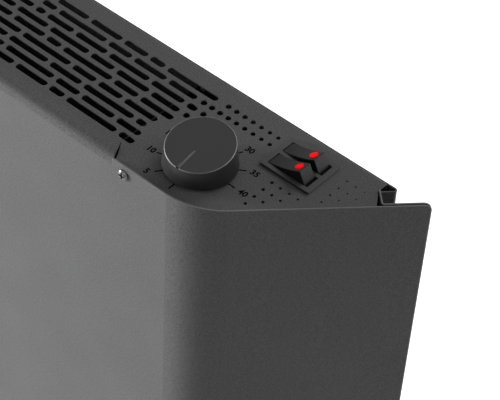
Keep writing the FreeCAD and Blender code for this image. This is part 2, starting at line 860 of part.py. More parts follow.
def make_wall_spacers():
    """Rubber buffers that keep the lower back off the wall."""
    master = new_body("spacer_master", export=False)
    radius, peg = d.spacer_radius, d.spacer_peg / 2
    peg_end = -d.sheet_thick - d.peg_past
    profile = [(0, peg_end), (peg, peg_end), (peg, 0), (radius, 0), (radius * 0.8, d.wall_gap)]
    profile += [(radius * 0.4, d.wall_gap), (radius * 0.4, d.wall_gap - d.peg_past), (0, d.wall_gap - d.peg_past)]
    revolve(master, turned(profile))
    group("wall_spacers", master,
          [at(side * d.spacer_spacing / 2, back_y, spacer_z, TOWARDS_WALL) for side in (-1, 1)])


make_wall_bracket()
make_wall_spacers()


# Heat shield, element bracket and reflector

bush_hole = d.bush_body + 2 * d.rod_play


def upright(label, x, side, low_z, height):
    """A plate across the casing whose rear edge is folded against the back panel."""
    body = new_body(label)
    path = [Vector(x, front_in_y + d.shield_clear), Vector(x, back_in_y)]
    path.append(Vector(x + side * (d.sheet_thick + d.shield_flange), back_in_y))
    pad(body, "XY_Plane", low_z, strip(path, [0, 2 * d.sheet_thick, 0], -side * d.sheet_thick), height)
    holes = []
    for z in element_zs:
        holes += circle(element_y, z, bush_hole)
    pocket(body, "YZ_Plane", x, holes, "4 * Sizes.sheet_thick", symmetric=True)
    screws = []
    for screw_x, screw_z in frame_screws:
        if screw_x * side > 0:
            screws += circle(screw_x, screw_z, screw_hole)
    pocket(body, "XZ_Plane", back_in_y - d.sheet_thick, screws, "2 * Sizes.sheet_thick")
    return body


shield_height = "Sizes.body_height - 2 * Sizes.sheet_thick - Sizes.grille_flange - Sizes.rear_flange"
shield = upright("heat_shield", shield_x, 1, shield_low_z, shield_height + " - 2 * Sizes.fit_gap")
upright("element_bracket", bracket_x, -1, bracket_low_z, "Sizes.element_spacing + 2 * Sizes.bracket_margin")

reflector_y = back_in_y - d.reflector_gap


def make_reflector():
    """A bright sheet behind the elements, from the element bracket to the heat shield."""
    body = new_body("reflector")
    low, high = bracket_low_z, bracket_high_z
    path = [
        Vector(reflector_y - d.reflector_lip, low),
        Vector(reflector_y, low + d.reflector_lip),
        Vector(reflector_y, high - d.reflector_lip),
        Vector(reflector_y - d.reflector_lip, high),
    ]
    bend = d.reflector_lip / 2
    pad(body, "YZ_Plane", bracket_x + d.fit_gap, strip(path, [0, bend, bend, 0], d.reflector_thick),
        "Sizes.front_width - Sizes.bracket_inset - Sizes.shield_inset - 2 * Sizes.fit_gap")


make_reflector()


# Heating elements

element_low_x = bracket_x + d.element_clear
element_high_x = shield_x - d.element_clear
rod_low_x = bracket_x - d.rod_end
rod_high_x = shield_x + d.rod_end


def make_element(label, z):
    """An aluminium body along a heater rod, with four wings cut into short fins."""
    body = new_body(label)
    core = circle(element_y, z, d.element_core) + circle(element_y, z, d.rod_thick + 2 * d.rod_play)
    pad(body, "YZ_Plane", element_low_x, core,
        "Sizes.front_width - Sizes.bracket_inset - Sizes.shield_inset - 2 * Sizes.element_clear")
    half = d.fin_thick / 2
    inner = d.element_core / 2 - half
    wing = [(inner, -half), (d.fin_reach, -half), (d.fin_reach, half), (inner, half)]
    wings = []
    for turn in (45, 135, 225, 315):
        rotation = Rotation(Vector(0, 0, 1), turn)
        corners = [rotation.multVec(Vector(y, level)) + Vector(element_y, z) for y, level in wing]
        wings += rounded(corners, [0, half * 0.8, half * 0.8, 0])
    length = element_high_x - element_low_x
    count = int((length - d.fin_length) // d.fin_pitch) + 1
    first = element_low_x + (length - (count - 1) * d.fin_pitch - d.fin_length) / 2
    fins = pad(body, "YZ_Plane", first, wings, "Sizes.fin_length")
    pattern = body.newObject("PartDesign::LinearPattern", "FinPattern")
    pattern.Originals = [fins]
    axis = next(feature for feature in body.Origin.OriginFeatures if feature.Role == "X_Axis")
    pattern.Direction = (axis, [""])
    pattern.Mode = "Spacing"
    pattern.setExpression("Offset", "Sizes.fin_pitch")
    pattern.Occurrences = count
    body.Tip = pattern


for label, z in zip(("lower_element", "upper_element"), element_zs):
    make_element(label, z)


def make_heater_rods():
    master = new_body("rod_master", export=False)
    thick, stud = d.rod_thick / 2, d.rod_stud / 2
    length = rod_high_x - rod_low_x
    profile = [(0, -d.rod_stud_length), (stud, -d.rod_stud_length), (stud, 0), (thick, 0), (thick, length)]
    profile += [(stud, length), (stud, length + d.rod_stud_length), (0, length + d.rod_stud_length)]
    revolve(master, turned(profile))
    group("heater_rods", master, [at(rod_low_x, element_y, z, ALONG_X) for z in element_zs])


def make_ceramic_bushes():
    """Collared ceramic bushes that carry the rods in the heat shield and the element bracket."""
    master = new_body("bush_master", export=False)
    bore, neck, collar = d.rod_thick / 2 + d.rod_play, d.bush_body / 2, d.bush_collar / 2
    profile = [(bore, -d.bush_collar_length), (collar, -d.bush_collar_length), (collar, 0), (neck, 0)]
    profile += [(neck, d.bush_length), (bore, d.bush_length)]
    revolve(master, turned(profile))
    opposite = Rotation(Vector(0, 1, 0), -90)
    places = []
    for z in element_zs:
        places.append(at(shield_x, element_y, z, ALONG_X))
        places.append(at(bracket_x, element_y, z, opposite))
    group("ceramic_bushes", master, places)


def make_nut_master(label, across, hole, height):
    body = new_body(label, export=False)
    pad(body, "XY_Plane", 0, hexagon(0, 0, across) + circle(0, 0, hole), height)
    return body


make_heater_rods()
make_ceramic_bushes()
small_nut = make_nut_master("small_nut_master", d.nut_across, d.rod_stud + 2 * d.rod_play, "Sizes.nut_height")
rod_nut_places = []
for z in element_zs:
    rod_nut_places.append(at(rod_high_x, element_y, z, ALONG_X))
    rod_nut_places.append(at(rod_low_x - d.sheet_thick - d.nut_height, element_y, z, ALONG_X))
group("rod_nuts", small_nut, rod_nut_places)


# Thermostat and knob

stem_hole = d.stem_thick + 2 * d.rod_play
shaft_bore = d.shaft_thick + 2 * d.shaft_play
shaft_below = d.thermostat_height * 0.6
hub_low = d.stem_above + d.fit_gap
thermostat_low_z = under_deck_z - d.thermostat_height


def make_thermostat():
    """A moulded block under the deck, with a threaded stem through it."""
    body = new_body("thermostat_body")
    half_wide, half_deep = d.thermostat_width / 2, d.thermostat_depth / 2
    block = rectangle(knob_x - half_wide, knob_y - half_deep, knob_x + half_wide, knob_y + half_deep, 3)
    pad(body, "XY_Plane", thermostat_low_z, block, "Sizes.thermostat_height")
    pad(body, "XY_Plane", under_deck_z, circle(knob_x, knob_y, d.stem_thick),
        "Sizes.sheet_thick + Sizes.stem_above")
    pocket(body, "XY_Plane", top_z + d.stem_above, circle(knob_x, knob_y, shaft_bore),
           "Sizes.stem_above + Sizes.sheet_thick + Sizes.thermostat_height * 0.6 + Sizes.fit_gap")

    nut = new_body("thermostat_nut")
    pad(nut, "XY_Plane", top_z, hexagon(knob_x, knob_y, d.stem_nut_across) + circle(knob_x, knob_y, stem_hole),
        "Sizes.stem_nut_height")

    tabs = new_body("thermostat_terminals")
    blades = []
    for side in (-1, 1):
        middle = knob_x + side * d.thermostat_width / 4
        blades += rectangle(middle - d.tab_thick / 2, knob_y, middle + d.tab_thick / 2, knob_y + d.tab_width)
    pad(tabs, "XY_Plane", thermostat_low_z - d.tab_below, blades, "Sizes.tab_below")


def make_knob():
    """A hollow knob with a hub, whose top slopes down along its pointer groove, turned to its stop."""
    knob = new_body("knob")
    base, top = d.knob_base / 2, d.knob_top / 2
    bore, hub = shaft_bore / 2, d.hub_thick / 2
    inner_z = d.knob_height - d.knob_crown
    taper = (base - top) / (d.knob_height - d.knob_gap)
    slope = math.tan(math.radians(d.knob_slope))
    peak_z = d.knob_height + base * slope
    inner = base - d.knob_wall
    profile = [(0, inner_z), (bore, inner_z), (bore, hub_low), (hub, hub_low), (hub, inner_z)]
    profile += [(inner - taper * (inner_z - d.knob_gap), inner_z), (inner, d.knob_gap), (base, d.knob_gap)]
    profile += [(base - taper * (peak_z - d.knob_gap), peak_z), (0, peak_z)]
    revolve(knob, turned(profile))

    def on_slope(y, above):
        return Vector(y, d.knob_height + slope * y + above)

    sliced = [on_slope(-base, 0), on_slope(base, 0), on_slope(base, base), on_slope(-base, base)]
    pocket(knob, "YZ_Plane", 0, rounded(sliced, [0] * 4), "2 * Sizes.knob_base", symmetric=True)
    low_y = -top / (1 - taper * slope)
    high_y = top / (1 + taper * slope)
    soften(knob, [Vector(0, y, d.knob_height + slope * y) for y in (low_y, high_y)], "Sizes.knob_round")
    groove = [
        on_slope(-base, -d.pointer_depth),
        on_slope(-d.pointer_start, -d.pointer_depth),
        on_slope(-d.pointer_start, base),
        on_slope(-base, base),
    ]
    pocket(knob, "YZ_Plane", 0, rounded(groove, [0] * 4), "Sizes.pointer_width", symmetric=True)
    knob.Placement = at(knob_x, knob_y, top_z, Rotation(Vector(0, 0, 1), d.pointer_turn))

    shaft = new_body("thermostat_shaft")
    shaft_high = d.knob_height - d.knob_crown - d.shaft_play
    low = -d.sheet_thick - shaft_below
    pad(shaft, "XY_Plane", low, circle(0, 0, d.shaft_thick),
        "Sizes.knob_height - Sizes.knob_crown - Sizes.shaft_play + Sizes.sheet_thick + Sizes.thermostat_height * 0.6")
    thick = d.shaft_thick
    pocket(shaft, "XY_Plane", shaft_high, rectangle(-thick, -thick, thick, -d.shaft_flat),
           "Sizes.knob_height - Sizes.knob_crown - Sizes.shaft_play - Sizes.stem_above - Sizes.fit_gap")
    shaft.Placement = at(knob_x, knob_y, top_z)

    clip = new_body("knob_clip")
    clip_y = -d.shaft_flat - d.shaft_play
    spring = rectangle(-d.clip_width / 2, clip_y - d.clip_thick, d.clip_width / 2, clip_y)
    pad(clip, "XY_Plane", hub_low, spring,
        "Sizes.knob_height - Sizes.knob_crown - Sizes.stem_above - 2 * Sizes.fit_gap")
    clip.Placement = at(knob_x, knob_y, top_z)


make_thermostat()
make_knob()


# Capillary tube, sensor bulb and its clips

bulb_x = shield_x + d.sheet_thick + d.bulb_out
bulb_y = front_in_y + d.bulb_setback
bulb_high_z = element_zs[0] + d.bulb_rise
bulb_low_z = bulb_high_z - d.bulb_length


def tube(points, radii, thickness):
    """A round tube along straight runs that are joined by tangent arcs."""
    path = Part.Wire([curve.toShape() for curve in rounded(points, radii, closed=False)])
    ring = Part.Circle(points[0], points[1] - points[0], thickness / 2)
    solid = path.makePipeShell([Part.Wire(ring.toShape())], True, True)
    expected = path.Length * math.pi * thickness ** 2 / 4
    if abs(solid.Volume - expected) > 0.01 * expected:
        raise ValueError("a tube's volume differs from its section times its length")
    return solid


def shape_node(label, shape):
    feature = doc.addObject("Part::Feature", label)
    feature.Label = label
    feature.Shape = shape
    nodes.append(feature)


def make_capillary():
    start = Vector(knob_x - d.thermostat_width / 4, knob_y - d.thermostat_depth / 4, thermostat_low_z)
    drop = thermostat_low_z - bulb_high_z
    points = [
        start,
        start - Vector(0, 0, drop * 0.3),
        Vector(bulb_x, bulb_y, bulb_high_z + drop * 0.4),
        Vector(bulb_x, bulb_y, bulb_high_z),
    ]
    shape_node("capillary_tube", tube(points, [0, drop * 0.2, drop * 0.2, 0], d.capillary_thick))

    bulb = new_body("sensor_bulb")
    radius = d.bulb_thick / 2
    neck = d.capillary_thick
    profile = [(0, 0), (radius, 0), (radius, d.bulb_length - radius), (neck, d.bulb_length), (0, d.bulb_length)]
    revolve(bulb, turned(profile, [0, radius * 0.6, 0, 0, 0]))
    bulb.Placement = at(bulb_x, bulb_y, bulb_low_z)

    clips = new_body("bulb_clips")
    shield_face = shield_x + d.sheet_thick
    ring = circle(bulb_x, bulb_y, d.bulb_thick + 4 * d.sheet_thick)
    ring += circle(bulb_x, bulb_y, d.bulb_thick + 2 * d.rod_play)
    arm_end = bulb_x - radius - d.sheet_thick
    arm = rectangle(shield_face, bulb_y - d.sheet_thick, arm_end, bulb_y + d.sheet_thick)
    for share in (0.2, 0.8):
        level = bulb_low_z + d.bulb_length * share - d.clip_tall / 2
        pad(clips, "XY_Plane", level, ring, "Sizes.clip_tall")
        pad(clips, "XY_Plane", level, arm, "Sizes.clip_tall")


make_capillary()


# Twin rocker switch, drawn round its middle on the deck

pivot_z = d.bezel_height - d.pivot_drop
lever_z = pivot_z - d.plunger_length - d.lever_gap - d.lever_thick / 2
rocker_pitch = d.window_width + d.window_bar
rocker_ys = {"front": -rocker_pitch / 2, "rear": rocker_pitch / 2}
tab_xs = [-d.lever_length / 2, 0, d.lever_length / 2 - d.button_thick / 2]


def tab_outline(x, y, play):
    half_thick = d.tab_thick / 2 + play
    half_wide = d.tab_width / 2 + play
    return rectangle(x - half_thick, y - half_wide, x + half_thick, y + half_wide)


def make_switch_housing():
    body = new_body("switch_housing")
    windows = []
    half_window = d.window_length / 2
    for y in rocker_ys.values():
        windows += rectangle(-half_window, y - d.window_width / 2, half_window, y + d.window_width / 2)
    half_long, half_wide = d.bezel_length / 2, d.bezel_width / 2
    pad(body, "XY_Plane", 0, rectangle(-half_long, -half_wide, half_long, half_wide, d.bezel_round) + windows,
        "Sizes.bezel_height")
    half_long, half_wide = d.housing_length / 2, d.housing_width / 2
    walls = rectangle(-half_long, -half_wide, half_long, half_wide)
    pad(body, "XY_Plane", d.housing_floor - d.housing_depth, walls + windows,
        "Sizes.housing_depth - Sizes.housing_floor")
    floor = list(walls)
    for y in rocker_ys.values():
        for x in tab_xs:
            floor += tab_outline(x, y, d.rod_play)
    pad(body, "XY_Plane", -d.housing_depth, floor, "Sizes.housing_floor")
    pocket(body, "XZ_Plane", 0, circle(0, pivot_z, d.pivot_thick + 2 * d.pivot_play),
           "Sizes.window_bar + 2 * Sizes.window_width + 2 * Sizes.pivot_reach + Sizes.fit_gap", symmetric=True)
    body.Placement = at(switch_x, switch_y, top_z)


def make_rocker(name, y):
    """A rocker drawn level about its pivot, then stored with its left end pressed."""
    body = new_body(f"rocker_{name}")
    radius = d.rocker_radius
    tip_turn = math.asin((d.pivot_drop - d.rocker_sunk) / radius) + math.radians(d.rocker_tilt)
    tip = Vector(radius * math.cos(tip_turn), radius * math.sin(tip_turn))
    lean = math.tan(math.radians(d.rocker_draft))
    waist = Vector(tip.x + lean * (tip.y + d.rocker_waist), -d.rocker_waist)
    skirt = Vector(math.sqrt((radius - d.fit_gap) ** 2 - d.rocker_skirt ** 2), -d.rocker_skirt)
    side = [tip, waist, skirt]
    outline = rounded(mirrored(side), [0] * 6)[:-1]
    left_tip = Vector(-tip.x, tip.y)
    outline.append(Part.Arc(left_tip, Vector(0, tip.y - d.rocker_dish), tip))
    pad(body, "XZ_Plane", 0, outline, "Sizes.rocker_width", symmetric=True)
    soften(body, [Vector(x, 0, tip.y) for x in (-tip.x, tip.x)], "Sizes.rocker_crest")
    half_wide = d.rocker_width / 2
    soften(body, [Vector(0, y, tip.y - d.rocker_dish) for y in (-half_wide, half_wide)], "Sizes.rocker_edge")
    pad(body, "XZ_Plane", 0, circle(0, 0, d.pivot_thick),
        "Sizes.window_width + 2 * Sizes.pivot_reach", symmetric=True)
    pad(body, "XY_Plane", -d.plunger_length, circle(0, 0, d.plunger_thick),
        "Sizes.plunger_length - Sizes.rocker_skirt")
    share = d.lens_out / tip.x
    seat = Vector(d.lens_out, 0, tip.y - d.rocker_dish * (1 - share ** 2))
    slope = math.degrees(math.atan(2 * d.rocker_dish * share / tip.x))
    on_top = Rotation(Vector(0, 1, 0), -slope)

    reach = Vector(0, 0, d.lens_proud)
    pocket(body, "XY_Plane", 0, circle(0, 0, d.lens_width + 2 * d.rod_play), "Sizes.lens_depth + Sizes.lens_proud",
           offset=Placement(seat + on_top.multVec(reach), on_top))
    lamp_low_x = d.plunger_thick / 2 + d.fit_gap
    lamp_high_x = tip.x - d.rocker_wall
    half = d.lamp_thick / 2
    pocket(body, "XY_Plane", d.lamp_rise, rectangle(lamp_low_x, -half, lamp_high_x, half),
           "Sizes.rocker_skirt + Sizes.lamp_rise")
    stored = Placement(Vector(switch_x, switch_y + y, top_z + pivot_z), Rotation(Vector(0, 1, 0), -d.rocker_tilt))
    body.Placement = stored

    lens = new_body(f"lens_{name}")
    lens_low = on_top.multVec(Vector(0, 0, -d.lens_depth))
    pad(lens, "XY_Plane", 0, circle(0, 0, d.lens_width), "Sizes.lens_depth + Sizes.lens_proud",
        offset=Placement(seat + lens_low, on_top))
    lens.Placement = stored

    lamp = new_body(f"lamp_{name}")
    glass = half - d.fit_gap / 2
    length = lamp_high_x - lamp_low_x - d.fit_gap
    revolve(lamp, turned([(0, 0), (glass, 0), (glass, length), (0, length)], [0, glass * 0.7, glass * 0.7, 0]))
    lamp.Placement = stored.multiply(at(lamp_low_x + d.fit_gap / 2, 0, d.lamp_rise - half, ALONG_X))


def make_contact_lever(name, y):
    """A see-saw contact below a rocker's plunger, stored with its right end down."""
    body = new_body(f"contact_lever_{name}")
    half, thick = d.lever_length / 2, d.lever_thick / 2
    pad(body, "XZ_Plane", 0, rectangle(-half, -thick, half, thick, thick * 0.5), "Sizes.lever_width", symmetric=True)
    buttons = circle(tab_xs[2], 0, d.button_thick)
    pad(body, "XY_Plane", -thick - d.button_height, buttons, "Sizes.button_height")
    tilt = Rotation(Vector(0, 1, 0), d.lever_tilt)
    body.Placement = Placement(Vector(switch_x, switch_y + y, top_z + lever_z), tilt)


def make_switch_terminals():
    """For each rocker a lamp tab, the fulcrum tab of its contact lever and the switched tab."""
    body = new_body("switch_terminals")
    low = -d.housing_depth - d.tab_below
    tilt = math.radians(d.lever_tilt)
    reach = tab_xs[2] + d.button_thick / 2
    contact = reach * math.sin(tilt) + (d.lever_thick / 2 + d.button_height) * math.cos(tilt)
    drops = [contact + d.lever_gap, d.lever_thick / 2 + d.rod_play, contact + d.rod_play]
    for x, drop in zip(tab_xs, drops):
        blades = []
        for y in rocker_ys.values():
            blades += tab_outline(x, y, 0)
        pad(body, "XY_Plane", low, blades, f"{lever_z - drop - low}")
    body.Placement = at(switch_x, switch_y, top_z)


make_switch_housing()
for name, y in rocker_ys.items():
    make_rocker(name, y)
    make_contact_lever(name, y)
make_switch_terminals()


# Thermal cut-out on the heating side of the heat shield

cutout_z = element_zs[1] + d.cutout_rise
cutout_size = d.cutout_thick + 2 * d.cutout_margin
cutout_x = shield_x - cutout_size / 2
cutout_ys = [element_y - d.cutout_thick / 4, element_y + d.cutout_thick / 4]
blade_z = cutout_z + d.tab_below


def make_cutout():
    """A round cut-out that hangs under an angle, with its two blades up through slots."""
    angle = new_body("cutout_bracket")
    leg = [Vector(shield_x - cutout_size, cutout_z), Vector(shield_x, cutout_z)]
    leg.append(Vector(shield_x, cutout_z + d.cutout_thick))
    pad(angle, "XZ_Plane", element_y, strip(leg, [0, 2 * d.sheet_thick, 0], d.sheet_thick),
        "Sizes.cutout_thick + 2 * Sizes.cutout_margin", symmetric=True)

    def blades(play):
        half_long, half_thick = d.tab_width / 2 + play, d.tab_thick / 2 + play
        curves = []
        for y in cutout_ys:
            curves += rectangle(cutout_x - half_long, y - half_thick, cutout_x + half_long, y + half_thick)
        return curves

    pocket(angle, "XY_Plane", cutout_z + d.sheet_thick, blades(d.fit_gap), "2 * Sizes.sheet_thick")
    body = new_body("thermal_cutout")
    pad(body, "XY_Plane", cutout_z - d.cutout_height, circle(cutout_x, element_y, d.cutout_thick),
        "Sizes.cutout_height")
    pad(body, "XY_Plane", cutout_z, blades(0), "Sizes.tab_below")


make_cutout()


# Terminal block, earth stud and cable gland on the back panel

block_z = bottom_z + d.block_height
block_front_y = back_in_y - d.block_depth
way_y = back_in_y - d.block_depth / 2
pole_xs = [gland_x - d.pole_pitch, gland_x, gland_x + d.pole_pitch]
earth_x = corner_x + d.earth_out
earth_z = bottom_z + d.earth_height


def make_terminal_block():
    """Three poles, each with a way through for wires and a screw from the front at both ends."""
    body = new_body("terminal_block")
    half_long, half_tall = d.block_length / 2, d.block_tall / 2
    outline = rectangle(gland_x - half_long, block_z - half_tall, gland_x + half_long, block_z + half_tall, 1.5)
    pad(body, "XZ_Plane", back_in_y, outline, "Sizes.block_depth")
    ways = []
    wells = []
    screws = []
    for x in pole_xs:
        ways += circle(x, way_y, d.pole_hole)
        for side in (-1, 1):
            z = block_z + side * d.block_tall / 4
            wells += circle(x, z, d.pole_hole - 2 * d.fit_gap)
            screws += circle(x, z, d.pole_hole - 4 * d.fit_gap)
    pocket(body, "XY_Plane", block_z, ways, "Sizes.block_tall + Sizes.fit_gap", symmetric=True)
    pocket(body, "XZ_Plane", block_front_y, wells, "Sizes.block_depth / 2")
    pad(new_body("terminal_screws"), "XZ_Plane", way_y - d.wire_thick / 2, screws,
        "Sizes.block_depth / 2 - Sizes.wire_thick / 2 - 2 * Sizes.fit_gap")


def make_earth_stud():
    stud = new_body("earth_stud")
    pad(stud, "XZ_Plane", back_y, circle(earth_x, earth_z, d.earth_stud), "Sizes.earth_length")
    pad(stud, "XZ_Plane", back_y + d.screw_head_height, circle(earth_x, earth_z, 2 * d.earth_stud),
        "Sizes.screw_head_height")
    nut = new_body("earth_nut")
    hole = circle(earth_x, earth_z, d.earth_stud + 2 * d.rod_play)
    pad(nut, "XZ_Plane", back_in_y, hexagon(earth_x, earth_z, d.nut_across) + hole, "Sizes.nut_height")


def make_cable_gland():
    """A moulded gland clamped in the back panel: its bore takes a mains lead."""
    body = new_body("cable_gland")
    bore, neck, flange = d.gland_bore / 2, d.gland_thick / 2, d.gland_flange / 2
    collar = d.gland_outside / 4
    profile = [(bore, -d.gland_inside), (neck, -d.gland_inside), (neck, 0), (flange, 0), (flange, collar)]
    profile += [(neck, collar), (neck * 0.75, d.gland_outside), (bore, d.gland_outside)]
    revolve(body, turned(profile))
    body.Placement = at(gland_x, back_y, gland_z, TOWARDS_WALL)

    nut = new_body("gland_nut")
    hole = circle(gland_x, gland_z, d.gland_thick + 2 * d.rod_play)
    pad(nut, "XZ_Plane", back_in_y, hexagon(gland_x, gland_z, d.gland_nut_across) + hole,
        "Sizes.gland_nut_height")


make_terminal_block()
make_earth_stud()
make_cable_gland()


# Wires: each is a run of straight lengths and arcs from one terminal to the next

tab_low_z = top_z - d.housing_depth - d.tab_below
lamp_x, common_x, switched_x = [switch_x + x for x in tab_xs]
front_tab_y, rear_tab_y = [switch_y + y for y in rocker_ys.values()]
tab_side = d.tab_width / 4
way_z = block_z + d.block_tall / 8
grommet_y = element_y + d.cutout_thick
grommet_z = blade_z + d.wire_step * 1.4
clip_z = blade_z + d.wire_step * 0.7
clip_wire_y = back_in_y - d.wire_clip_out


def wire(*places):
    points = [Vector(*place) for place in places]
    bends = [0] + [d.wire_bend] * (len(points) - 2) + [0]
    return tube(points, bends, d.wire_thick)


def tab_bridge(x):
    """A short loop under the switch from a front tab to the rear tab of the same kind."""
    low = tab_low_z - d.wire_step / 2
    front_y, rear_y = front_tab_y + tab_side, rear_tab_y + tab_side
    return wire((x, front_y, tab_low_z), (x, front_y, low), (x, rear_y, low), (x, rear_y, tab_low_z))


def element_feed(tab_y, level, drop_x, stud_z):
    """From a switched tab down to the end of a heater rod's stud."""
    stud_end = rod_high_x + d.rod_stud_length
    return wire((switched_x, tab_y, tab_low_z), (switched_x, tab_y, level), (drop_x, element_y, level),
                (drop_x, element_y, stud_z), (stud_end, element_y, stud_z))


def make_live_wires():
    left_x, right_x = knob_x - d.thermostat_width / 4, knob_x + d.thermostat_width / 4
    tab_y = knob_y + d.tab_width / 2
    tab_z = thermostat_low_z - d.tab_below
    live_x = pole_xs[0]
    common_y = front_tab_y - tab_side
    cross_z = tab_z - d.wire_step * 2
    loop_z = tab_z - d.wire_step
    to_thermostat = wire((live_x, way_y, way_z), (live_x, way_y, cross_z), (right_x, tab_y, cross_z),
                         (right_x, tab_y, tab_z))
    to_switch = wire((left_x, tab_y, tab_z), (left_x, tab_y, loop_z), (common_x, common_y, loop_z),
                     (common_x, common_y, tab_low_z))
    drop_x = rod_high_x + d.rod_stud_length + d.wire_step
    upper = element_feed(front_tab_y, grommet_z + 2 * d.wire_step, drop_x, element_zs[1])
    lower = element_feed(rear_tab_y, grommet_z + d.wire_step, drop_x + d.wire_step / 3, element_zs[0])
    pieces = [to_thermostat, to_switch, tab_bridge(common_x), upper, lower]
    shape_node("live_wires", Part.makeCompound(pieces))


def make_neutral_wires():
    neutral_x = pole_xs[1]
    pair = d.wire_thick / 2 + d.shaft_play
    first_x, second_x = neutral_x - pair, neutral_x + pair
    front_blade_y, rear_blade_y = cutout_ys
    to_cutout = wire((first_x, way_y, way_z), (first_x, way_y, grommet_z), (first_x, grommet_y, grommet_z),
                     (cutout_x, grommet_y, grommet_z), (cutout_x, front_blade_y, grommet_z),
                     (cutout_x, front_blade_y, blade_z))
    stud_end = rod_low_x - d.rod_stud_length
    turn_x = stud_end - d.wire_step * 0.75
    stud_z = element_zs[1]
    to_rods = wire((cutout_x, rear_blade_y, blade_z), (cutout_x, rear_blade_y, clip_z),
                   (cutout_x, clip_wire_y, clip_z), (turn_x, clip_wire_y, clip_z),
                   (turn_x, clip_wire_y, stud_z), (turn_x, element_y, stud_z), (stud_end, element_y, stud_z))
    lamp_y = front_tab_y - tab_side
    cross_z = tab_low_z - d.wire_step * 3
    to_lamps = wire((second_x, way_y, way_z), (second_x, way_y, cross_z), (lamp_x, lamp_y, cross_z),
                    (lamp_x, lamp_y, tab_low_z))
    shape_node("neutral_wires", Part.makeCompound([to_cutout, to_rods, to_lamps, tab_bridge(lamp_x)]))


def make_earth_wire():
    block_x = pole_xs[2]
    over_z = block_z + d.block_tall / 2 + d.wire_step
    stud_end_y = back_y - d.earth_length
    out_y = stud_end_y - d.wire_step * 0.6
    shape_node("earth_wire", wire((block_x, way_y, way_z), (block_x, way_y, over_z), (earth_x, way_y, over_z),
                                  (earth_x, out_y, over_z), (earth_x, out_y, earth_z),
                                  (earth_x, stud_end_y, earth_z)))


def make_wire_fittings():
    """The grommet in the heat shield, the saddles of the long wire and the strap between two studs."""
    pocket(shield, "YZ_Plane", shield_x, circle(grommet_y, grommet_z, d.grommet_neck + 2 * d.rod_play),
           "4 * Sizes.sheet_thick", symmetric=True)
    grommet = new_body("shield_grommet")
    bore = d.wire_thick / 2 + d.rod_play
    neck, flange = d.grommet_neck / 2, d.grommet_flange / 2
    near, far, lip = 0, d.sheet_thick, d.grommet_lip
    profile = [(bore, near - lip), (flange, near - lip), (flange, near), (neck, near)]
    profile += [(neck, far), (flange, far), (flange, far + lip), (bore, far + lip)]
    revolve(grommet, turned(profile))
    grommet.Placement = at(shield_x, grommet_y, grommet_z, ALONG_X)

    clips = new_body("wire_clips")
    half = d.wire_clip_size / 2
    saddles = []
    for x in (-d.wire_clip_spacing, 0, d.wire_clip_spacing):
        saddles += rectangle(x - half, clip_z - half, x + half, clip_z + half, 1)
    pad(clips, "XZ_Plane", back_in_y, saddles, "Sizes.wire_clip_out + Sizes.wire_thick")
    pocket(clips, "YZ_Plane", 0, circle(clip_wire_y, clip_z, 2 * bore),
           "2 * Sizes.wire_clip_spacing + 2 * Sizes.wire_clip_size", symmetric=True)

    strap = new_body("neutral_strap")
    half = d.strap_width / 2
    outline = rectangle(element_y - half, element_zs[0] - half, element_y + half, element_zs[1] + half, 2)
    for z in element_zs:
        outline += circle(element_y, z, d.rod_stud + 2 * d.rod_play)
    pad(strap, "YZ_Plane", rod_low_x - d.sheet_thick, outline, "Sizes.sheet_thick")


make_live_wires()
make_neutral_wires()
make_earth_wire()
make_wire_fittings()


# Writing

doc.recompute()
for item in doc.Objects:
    if "Invalid" in item.State or "Error" in item.State:
        raise ValueError(f"{item.Label} did not build")
os.makedirs("parts", exist_ok=True)
for item in nodes:
    if item.Shape.isNull() or not item.Shape.isValid():
        raise ValueError(f"{item.Label} has no sound shape")
    item.Shape.exportStep(f"parts/{item.Label}.step")
    print(item.Label, len(item.Shape.Solids), round(item.Shape.Volume))
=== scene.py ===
# %% [markdown]
# # A wall-hung convector heater
# The sheet-metal casing, the knob, the rockers and everything inside come from CAD at their real
# size. This lesson gives each of them the finish of the real thing, prints the dial on the deck,
# and sets up the camera and the light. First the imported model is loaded: it's a fixed frame that
# is never moved or reshaped here.

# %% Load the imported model
import math
import bpy
from mathutils import Matrix, Vector


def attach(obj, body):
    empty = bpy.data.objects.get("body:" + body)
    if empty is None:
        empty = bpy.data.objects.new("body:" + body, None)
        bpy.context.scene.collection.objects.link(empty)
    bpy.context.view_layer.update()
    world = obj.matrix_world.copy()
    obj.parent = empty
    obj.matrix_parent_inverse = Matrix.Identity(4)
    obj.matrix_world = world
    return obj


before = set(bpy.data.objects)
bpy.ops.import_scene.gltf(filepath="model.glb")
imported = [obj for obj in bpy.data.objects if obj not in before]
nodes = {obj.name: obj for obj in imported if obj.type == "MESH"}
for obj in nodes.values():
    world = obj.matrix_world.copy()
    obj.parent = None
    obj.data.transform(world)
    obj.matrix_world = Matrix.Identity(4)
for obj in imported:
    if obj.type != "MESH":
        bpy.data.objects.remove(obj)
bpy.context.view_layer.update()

# %% [markdown]
# ## The camera
# The heater is seen from above, over its right-hand front corner, through a long lens. The place
# and the three angles were solved from the slots of the deck, whose spacing is known. A camera
# looks along its own -Z with +Y up, so its axes are the right, up and backward directions.

